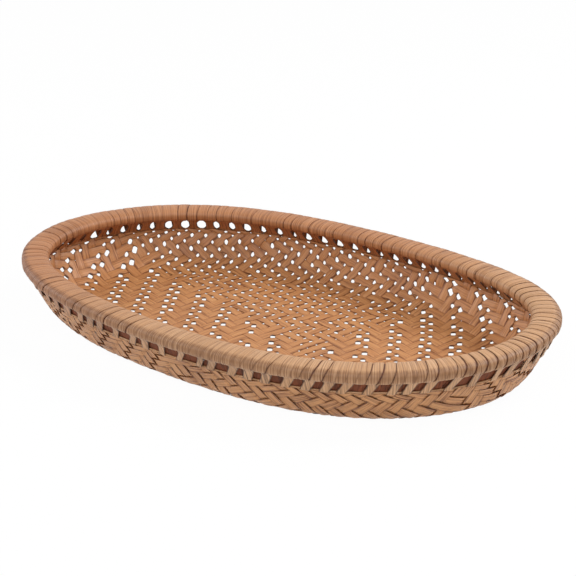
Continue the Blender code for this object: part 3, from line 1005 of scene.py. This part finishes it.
class TRAY_OT_stage(bpy.types.Operator):
    """Camera, lamps, world and floor"""

    bl_idname = "tray.stage"
    bl_label = "Add Stage"

    def execute(self, context):
        settings = context.scene.tray_stage
        self.add_camera(context.scene, settings)
        for name, (place, size, power) in LAMPS.items():
            self.add_lamp(name, place, size, getattr(settings, power))
        self.add_world(context.scene, settings)
        self.add_floor(settings)
        context.scene.view_settings.view_transform = "Standard"
        return {"FINISHED"}

    def add_camera(self, scene, settings):
        """The camera, by its place round the tray and the pixel of the tray's origin."""
        azimuth, elevation = settings.camera_azimuth, settings.camera_elevation
        back = Vector((
            math.sin(azimuth) * math.cos(elevation),
            -math.cos(azimuth) * math.cos(elevation),
            math.sin(elevation),
        ))
        level = Vector((math.cos(azimuth), math.sin(azimuth), 0))
        upright = back.cross(level)
        roll = settings.camera_roll
        right = level * math.cos(roll) + upright * math.sin(roll)
        up = upright * math.cos(roll) - level * math.sin(roll)
        focal_pixels = settings.focal_length_mm / SENSOR_WIDTH_MM * IMAGE_SIZE
        aside = (settings.origin_pixel_x - IMAGE_SIZE / 2) / focal_pixels
        down = (settings.origin_pixel_y - IMAGE_SIZE / 2) / focal_pixels
        place = (back - right * aside + up * down) * settings.camera_distance
        data = bpy.data.cameras.new("camera")
        data.lens = settings.focal_length_mm
        data.sensor_width = SENSOR_WIDTH_MM
        camera = add_object("camera", data)
        turn = Matrix((right, up, back)).transposed().to_4x4()
        camera.matrix_world = Matrix.Translation(place) @ turn
        scene.camera = camera

    def add_lamp(self, name, place, size, power):
        """A square area lamp that faces the tray."""
        data = bpy.data.lights.new(name, "AREA")
        data.size = size
        data.energy = power
        turn = Vector(place).to_track_quat("Z", "Y").to_matrix().to_4x4()
        add_object(name, data).matrix_world = Matrix.Translation(place) @ turn

    def add_world(self, scene, settings):
        """An even surround that looks white behind the tray and in reflections."""
        world = bpy.data.worlds.new("surround")
        world.use_nodes = True
        graph = Graph(world.node_tree)
        surround = world.node_tree.nodes["Background"]
        surround.inputs["Color"].default_value = (1, 1, 1, 1)
        strength = graph.seen_directly().blend(settings.world_strength, 1)
        graph.feed(surround.inputs["Strength"], strength)
        scene.world = world

    def add_floor(self, settings):
        """A white floor that keeps a faint shadow."""
        reach = FLOOR_REACH
        mesh = bpy.data.meshes.new("floor")
        corners = [(-reach, -reach, 0), (reach, -reach, 0), (reach, reach, 0), (-reach, reach, 0)]
        mesh.from_pydata(corners, [], [(0, 1, 2, 3)])
        material, graph, shader = new_material("white_floor")
        graph.feed(shader.inputs["Base Color"], tuple(settings.floor_colour))
        graph.feed(shader.inputs["Roughness"], 0.9)
        glow = graph.node("ShaderNodeEmission", None, {"Color": (1, 1, 1), "Strength": 1.0})
        share = graph.seen_directly() * settings.floor_glow
        mixed = graph.node(
            "ShaderNodeMixShader", None,
            {0: share, 1: Term(graph, shader.outputs["BSDF"]), 2: glow},
        )
        graph.feed(material.node_tree.nodes["Material Output"].inputs["Surface"], mixed)
        mesh.materials.append(material)
        floor = add_object("floor", mesh)


class TRAY_OT_weave(bpy.types.Operator):
    """The woven mat, one mesh for each direction of its splits"""

    bl_idname = "tray.weave"
    bl_label = "Add Woven Mat"

    def execute(self, context):
        shape = TrayShape(context.scene.tray_shape)
        weave = context.scene.tray_weave
        for crosswise, name, nodes, slot in (
            (True, "crosswise_splits", CROSSWISE_NODES, "cross_split_bamboo"),
            (False, "lengthwise_splits", LENGTHWISE_NODES, "split_bamboo"),
        ):
            material = fibre_material(f"{name}_bamboo", fibre_colours(weave), **SPLIT_FIBRES)
            profile = ribbon_profile("split_profile", 0.15)
            outline = shape.outline_object("floor_line", shape.floor_line)
            graph = WeaveGraph(name, shape, weave, crosswise, material, profile, outline)
            guides = self.guides(shape, weave, crosswise)
            piece = grow(name, guides, graph, (profile, outline))
            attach(piece, BODY)
            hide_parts(*nodes)
        return {"FINISHED"}

    def guides(self, shape, weave, crosswise):
        """Straight guide lines of the splits, from edge to edge of the flat mat."""
        diagonal = math.pi / 4 if crosswise else -math.pi / 4
        run = np.array([math.cos(weave.turn + diagonal), math.sin(weave.turn + diagonal)])
        across = np.array([math.cos(weave.turn - diagonal), math.sin(weave.turn - diagonal)])
        centre = np.array([weave.centre_x, weave.centre_y])
        reach = math.ceil((shape.settings.length / 2 + abs(weave.centre_x)) / weave.pitch) + 2
        steps = np.arange(-reach * weave.rings_per_pitch, reach * weave.rings_per_pitch + 1)
        places = steps * weave.pitch / weave.rings_per_pitch
        limit = shape.mat_run + weave.gather + weave.pitch * 0.3
        lines, numbers = [], []
        for index in range(-reach, reach):
            split = index + 0.5
            line = centre + places[:, None] * run + split * weave.pitch * across
            inside = np.flatnonzero(shape.out_of_floor(line) < limit)
            if len(inside) < 3:
                continue
            kept = places[inside[0]:inside[-1] + 1]
            lines.append([(place, split * weave.pitch, 0) for place in kept])
            numbers += [split] * len(kept)
        return lines_object("split_guides", lines, numbers={"split": numbers})


class TRAY_OT_rim(bpy.types.Operator):
    """The lashing wound round the rim, with a dark core under it"""

    bl_idname = "tray.rim"
    bl_label = "Add Rim Lashing"

    def execute(self, context):
        shape = TrayShape(context.scene.tray_shape)
        rim = context.scene.tray_rim
        material = fibre_material(
            "lashing_bamboo_strip", fibre_colours(rim), back_left_shade=tuple(rim.back_left_shade), **LASHING_FIBRES
        )
        guides = self.guides(shape, rim)
        piece = ribbon_piece("rim_lashing", shape, material, rim.thickness, 0.3, guides)
        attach(piece, BODY)
        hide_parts(*LASHING_NODES)
        self.add_core(shape, rim)
        return {"FINISHED"}

    def add_core(self, shape, rim):
        """The hoops and fillers inside the lashing, as one dark core."""
        half_width, half_height = self.section(shape, rim.thickness + CORE_CLEARANCE)
        power = 2 / rim.roundness
        turn = np.linspace(0, 2 * math.pi, CORE_SIDES, endpoint=False)
        outward = half_width * rounded(np.cos(turn), power)
        height = half_height * rounded(np.sin(turn), power)
        outline = np.column_stack([outward, height, np.zeros(CORE_SIDES)])
        profile = lines_object("core_profile", [outline], closed=True)
        guide = shape.outline_object("core_guide", shape.rim_line[::CORE_STRIDE])
        material = core_material("rim_core_cane", tuple(rim.core_colour))
        graph = rim_core_graph("rim_core", shape, material, profile)
        piece = grow("rim_core", guide, graph, (profile,))
        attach(piece, BODY)
        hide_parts(*RIM_NODES)

    def section(self, shape, inset):
        """Half the width and half the height of the rim, this far inside its surface."""
        return shape.settings.rim_width / 2 - inset, shape.settings.rim_height / 2 - inset

    def turn_places(self, shape, rim, chance):
        """Where each turn of the lashing starts along the rim, uneven by chance."""
        count = round(shape.rim_run / rim.turn_spacing)
        x, y = shape.on_rim(np.arange(count) / count * shape.rim_run).T
        gaps = 1 + rim.turn_spread * chance.uniform(-1, 1, count)
        right = smooth_step(x, -0.2, 0.2)
        gaps *= 1 - RIGHT_GAP_LESS * (y < 0) * right + FRONT_GAP_MORE * (y < 0)
        return np.concatenate([[0], np.cumsum(gaps)]) / gaps.sum() * shape.rim_run

    def guides(self, shape, rim):
        """One winding line round the rim, in the rim's own space."""
        chance = np.random.default_rng(rim.seed)
        places = self.turn_places(shape, rim, chance)
        turns = len(places) - 1
        counts = np.arange(turns + 1)
        x, y = shape.on_rim(places).T
        calm = (y < 0) * smooth_step(x, rim.calm_from - CALM_START_BLEND, rim.calm_from)
        calm *= 1 - smooth_step(x, rim.calm_to, rim.calm_to + CALM_END_BLEND)
        right = smooth_step(x, *RIGHT_FROM_TO)
        loose = 1 - CALM_STEADINESS * calm
        share = PARTED_SHARE - CALM_PARTED_LESS * calm + RIGHT_PARTED_MORE * right
        parted = chance.random(turns + 1) < share
        seams = rim.wide_seam * chance.uniform(*SEAM_FROM_TO, turns + 1)
        seams *= 1 + RIGHT_SEAM_MORE * right + CALM_SEAM_MORE * calm
        seams = np.where(parted, seams, rim.seam)
        swell = chance.uniform(*SWELL_FROM_TO, turns + 1) * MM * loose
        tilts = chance.uniform(*TILT_FROM_TO, turns + 1) * loose

        turn = np.arange(turns * STEPS_PER_TURN + 1) / STEPS_PER_TURN
        before, here, after = (
            self.spaced(places, turn + step, shape.rim_run) for step in (-1, 0, 1)
        )
        angle = 2 * math.pi * turn - math.pi / 2
        power = 2 / rim.roundness
        inset = rim.thickness / 2 + LASHING_CLEARANCE
        half_width, half_height = self.section(shape, inset)
        bulge = np.interp(turn, counts, swell)
        outward = (half_width + bulge) * rounded(np.cos(angle), power)
        height = (half_height + bulge) * rounded(np.sin(angle), power)
        line = np.column_stack([here + rim.lean * height / half_height, outward, height])
        numbers = {
            "trail": (before - here + np.interp(turn, counts, seams)) / 2,
            "lead": (after - here - np.interp(turn + 1, counts, seams)) / 2,
            "tilt": np.interp(turn, counts, tilts),
            "strip": np.floor(turn) % turns,
        }
        return lines_object("lashing_guide", [line], numbers=numbers)

    def spaced(self, places, turn, run):
        """Place along the rim by turns from the start, past either end too."""
        turns = len(places) - 1
        laps = np.floor(turn / turns)
        return laps * run + np.interp(turn - laps * turns, np.arange(turns + 1), places)


class TRAY_OT_legs(bpy.types.Operator):
    """Strips that hold the border strand to the rim, and the strand itself"""

    bl_idname = "tray.legs"
    bl_label = "Add Legs and Border Strand"

    def execute(self, context):
        shape = TrayShape(context.scene.tray_shape)
        rim = context.scene.tray_rim
        base, dark, pale = fibre_colours(rim)
        # Painted shade: the legs' dark fibres are half as bright as the lashing's, for the shade
        # under the rim
        colours = base, shaded(dark, 0.5), pale
        material = fibre_material("leg_bamboo", colours, back_left_shade=tuple(rim.back_left_shade), **LEG_FIBRES)
        guides = self.leg_guides(shape, rim)
        piece = ribbon_piece("lashing_legs", shape, material, rim.thickness, 0.5, guides)
        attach(piece, BODY)
        self.add_strand(shape, rim)
        self.add_ends(shape, rim)
        return {"FINISHED"}

    def leg_path(self, shape, rim, dip):
        """A leg's course from inside to outside: its lean, place outward, height and fullness."""
        centre = shape.strand_outward
        level = shape.strand_height - dip
        around = rim.strand_width / 2 + rim.thickness * 0.6
        return (
            (-0.5, -6 * MM, -4.9 * MM, 1.9),
            (-0.45, -5.6 * MM, -5.9 * MM, 1.6),
            (-0.4, -5.2 * MM, -6.8 * MM, 1.25),
            (-0.3, -3.6 * MM, -8.6 * MM, 1.05),
            (-0.2, centre - around - 1.6 * MM, level + 3.4 * MM, 1.1),
            (-0.17, centre - around - 1.0 * MM, level + 2.2 * MM, 1.3),
            (-0.15, centre - around - 0.6 * MM, level + 1.4 * MM, 1.55),
            (-0.1, centre - around, level + 0.6 * MM, 1.9),
            (-0.05, centre - around * 0.75, level - around * 0.7, 1.2),
            (0, centre + 0.2 * MM, level - around, 0.95),
            (0.05, centre + around * 0.85, level - around * 0.55, 0.95),
            (0.15, centre + around * 1.15, level + 0.8 * MM, 0.95),
            (0.5, centre + 3 * MM, level + 4 * MM, 0.95),
            (0.85, 7.4 * MM, -6.6 * MM, 1),
            (1, 9.6 * MM, -3.8 * MM, 1.1),
        )

    def leg_guides(self, shape, rim):
        """One short line for each leg: down inside, under the strand, and up outside."""
        chance = np.random.default_rng(rim.seed + 1)
        count = round(shape.rim_run / rim.leg_spacing)
        _, y = shape.on_rim(np.arange(count) / count * shape.rim_run).T
        gaps = 1 + chance.uniform(-1, 1, count) * (0.12 + 0.22 * smooth_step(-y, -0.05, 0.05))
        places = np.cumsum(gaps) / gaps.sum() * shape.rim_run
        x, y = shape.on_rim(places).T
        front = smooth_step(-y, -0.03, 0.05)
        fullness = 1.2 - 0.2 * front + 0.25 * front * smooth_step(-x, 0, 0.1)
        ribbons = Ribbons()
        for index, place in enumerate(places):
            path = self.leg_path(shape, rim, shape.dip(y[index]))
            slant = rim.leg_slant * chance.uniform(0.6, 1.3) * (0.25 + 0.75 * front[index])
            half = rim.leg_width / 2 * chance.uniform(0.75, 1.15) * fullness[index]
            line = [(place + share * slant, outward, height) for share, outward, height, _ in path]
            halves = [half * width for *_, width in path]
            ribbons.add(line, halves, chance.uniform(-0.4, 0.4), index + FIRST_LEG_STRIP)
        return ribbons.as_object("leg_guides")

    def end_guides(self, shape, rim):
        """Trimmed ends of the splits that stand up behind the strand along the front, a dark band
        that stands in for the shade in the gap under the rim.
        """
        chance = np.random.default_rng(rim.seed + 3)
        count = round(shape.rim_run / END_SPACING)
        places = (np.arange(count) + chance.uniform(-0.3, 0.3, count)) / count * shape.rim_run
        front = smooth_step(-shape.on_rim(places)[:, 1], -0.02, 0.04)
        slope = 1 / math.tan(shape.settings.wall_angle)
        ribbons = Ribbons()
        for index, place in enumerate(places):
            if front[index] < chance.random():
                continue
            top = shape.settings.strand_drop * chance.uniform(1.05, 1.15)
            inset = chance.uniform(0.9, 1.4) * MM
            slant = chance.uniform(3, 4.4) * MM
            half = chance.uniform(3.4, 4.6) * MM
            line = []
            for share in (-0.1, 0.25, 0.6, 1):
                rise = top * share
                outward = shape.strand_outward - inset + rise * slope
                line.append((place + slant * share, outward, shape.strand_height + rise))
            halves = [half, half, half, half * 0.8]
            ribbons.add(line, halves, chance.uniform(-0.5, 0.5), index + FIRST_END_STRIP)
        return ribbons.as_object("end_guides")

    def add_ends(self, shape, rim):
        """The trimmed split ends, painted near-black as the shade in the gap under the rim."""
        base = tuple(rim.end_shade_colour)
        colours = base, shaded(base, 0.5), shaded(base, 2)
        material = fibre_material("split_end_bamboo", colours, **END_FIBRES)
        guides = self.end_guides(shape, rim)
        piece = ribbon_piece("split_ends", shape, material, END_THICKNESS, 0.3, guides)
        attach(piece, BODY)

    def add_strand(self, shape, rim):
        """The thin strand along the mat's top edge."""
        chance = np.random.default_rng(rim.seed + 2)
        places = np.arange(STRAND_SAMPLES) / STRAND_SAMPLES
        wave = np.zeros(STRAND_SAMPLES)
        for cycles in range(5, 40, 3):
            height = chance.uniform(-1, 1) / cycles
            wave += height * np.sin(2 * math.pi * (cycles * places + chance.random()))
        settings = shape.settings
        line = shape.rim_line + shape.rim_normals * shape.strand_outward
        z = shape.rim_centre_z + shape.strand_height - shape.dip(shape.rim_line[:, 1])
        stride = OVAL_SAMPLES // STRAND_SAMPLES
        x, y = line[::stride].T
        z = z[::stride] + wave * 1.2 * MM
        along = x / (settings.length / 2)
        y = y * (1 + settings.end_swell * along)
        z = z * (1 + settings.end_lift / settings.height * along ** 2)
        guides = lines_object("strand_guide", [np.column_stack([x, y, z])], closed=True)
        turn = np.arange(STRAND_SIDES) / STRAND_SIDES * 2 * math.pi
        outline = np.column_stack([np.cos(turn), np.sin(turn), np.zeros(STRAND_SIDES)])
        outline *= rim.strand_width / 2
        profile = lines_object("strand_profile", [outline], closed=True)
        material = fibre_material("strand_cane", fibre_colours(rim), **STRAND_FIBRES)
        graph = strand_graph("border_strand_cane", material, profile)
        piece = grow("border_strand_cane", guides, graph, (profile,))
        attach(piece, BODY)
        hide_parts("border_strand")


class TRAY_PT_panel(bpy.types.Panel):
    """Sizes and colours of the tray"""

    bl_idname = "TRAY_PT_panel"
    bl_label = "Bamboo Tray"
    bl_space_type = "VIEW_3D"
    bl_region_type = "UI"
    bl_category = "Bamboo Tray"

    def draw(self, context):
        layout = self.layout
        for group, (_, operators) in GROUPS.items():
            box = layout.box()
            for operator in operators:
                box.operator(operator.bl_idname)
            settings = getattr(context.scene, group)
            for name in settings.__annotations__:
                box.prop(settings, name)


GROUPS = {
    "tray_shape": (TrayShapeSettings, ()),
    "tray_stage": (TrayStageSettings, (TRAY_OT_stage,)),
    "tray_weave": (TrayWeaveSettings, (TRAY_OT_weave,)),
    "tray_rim": (TrayRimSettings, (TRAY_OT_rim, TRAY_OT_legs)),
}


def register():
    for name, (group, operators) in GROUPS.items():
        bpy.utils.register_class(group)
        setattr(bpy.types.Scene, name, bpy.props.PointerProperty(type=group))
        for operator in operators:
            bpy.utils.register_class(operator)
    bpy.utils.register_class(TRAY_PT_panel)


def unregister():
    bpy.utils.unregister_class(TRAY_PT_panel)
    for name, (group, operators) in GROUPS.items():
        for operator in operators:
            bpy.utils.unregister_class(operator)
        delattr(bpy.types.Scene, name)
        bpy.utils.unregister_class(group)


def main():
    register()
    bpy.ops.tray.stage()
    bpy.ops.tray.weave()
    bpy.ops.tray.rim()
    bpy.ops.tray.legs()


if __name__ == "__main__":
    main()
